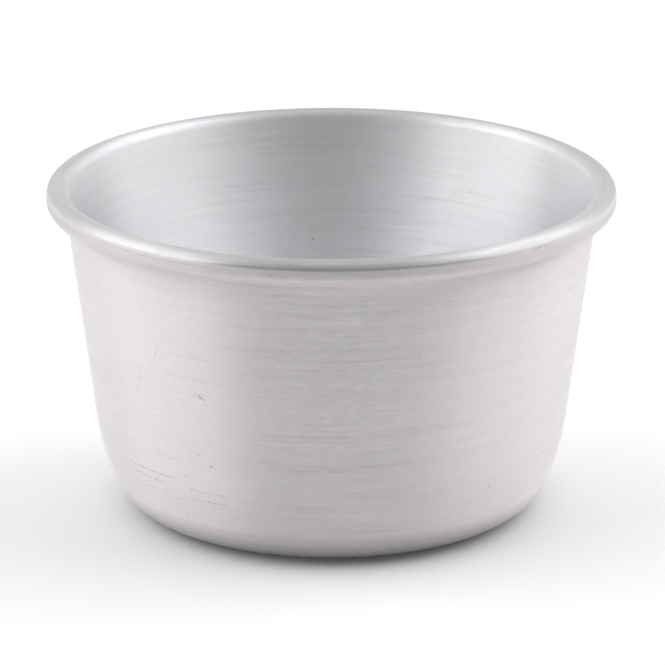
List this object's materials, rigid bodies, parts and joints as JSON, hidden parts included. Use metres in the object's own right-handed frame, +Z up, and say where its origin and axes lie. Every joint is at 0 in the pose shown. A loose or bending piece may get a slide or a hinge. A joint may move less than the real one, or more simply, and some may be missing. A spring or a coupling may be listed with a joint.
{
  "type": "pudding basin",
  "caption": "Round, slightly tapered aluminium basin with a flat base, an easy bottom corner and a rolled rim, for steaming or baking a pudding.",
  "frame": {"origin": "centre of the flat base's underside", "axes": "+Z up the basin's axis, out of its mouth; +X and +Y level, and alike because the basin is round"},
  "size_m": [0.1, 0.1, 0.0587],
  "materials": {
    "satin_aluminium": "satin, brushed round the axis, with light scratches from use",
    "rim_wire": "drawn wire, dull"
  },
  "bodies": {
    "root": {"basin_shell": "satin_aluminium", "rim_wire": "rim_wire"}
  },
  "joints": []
}
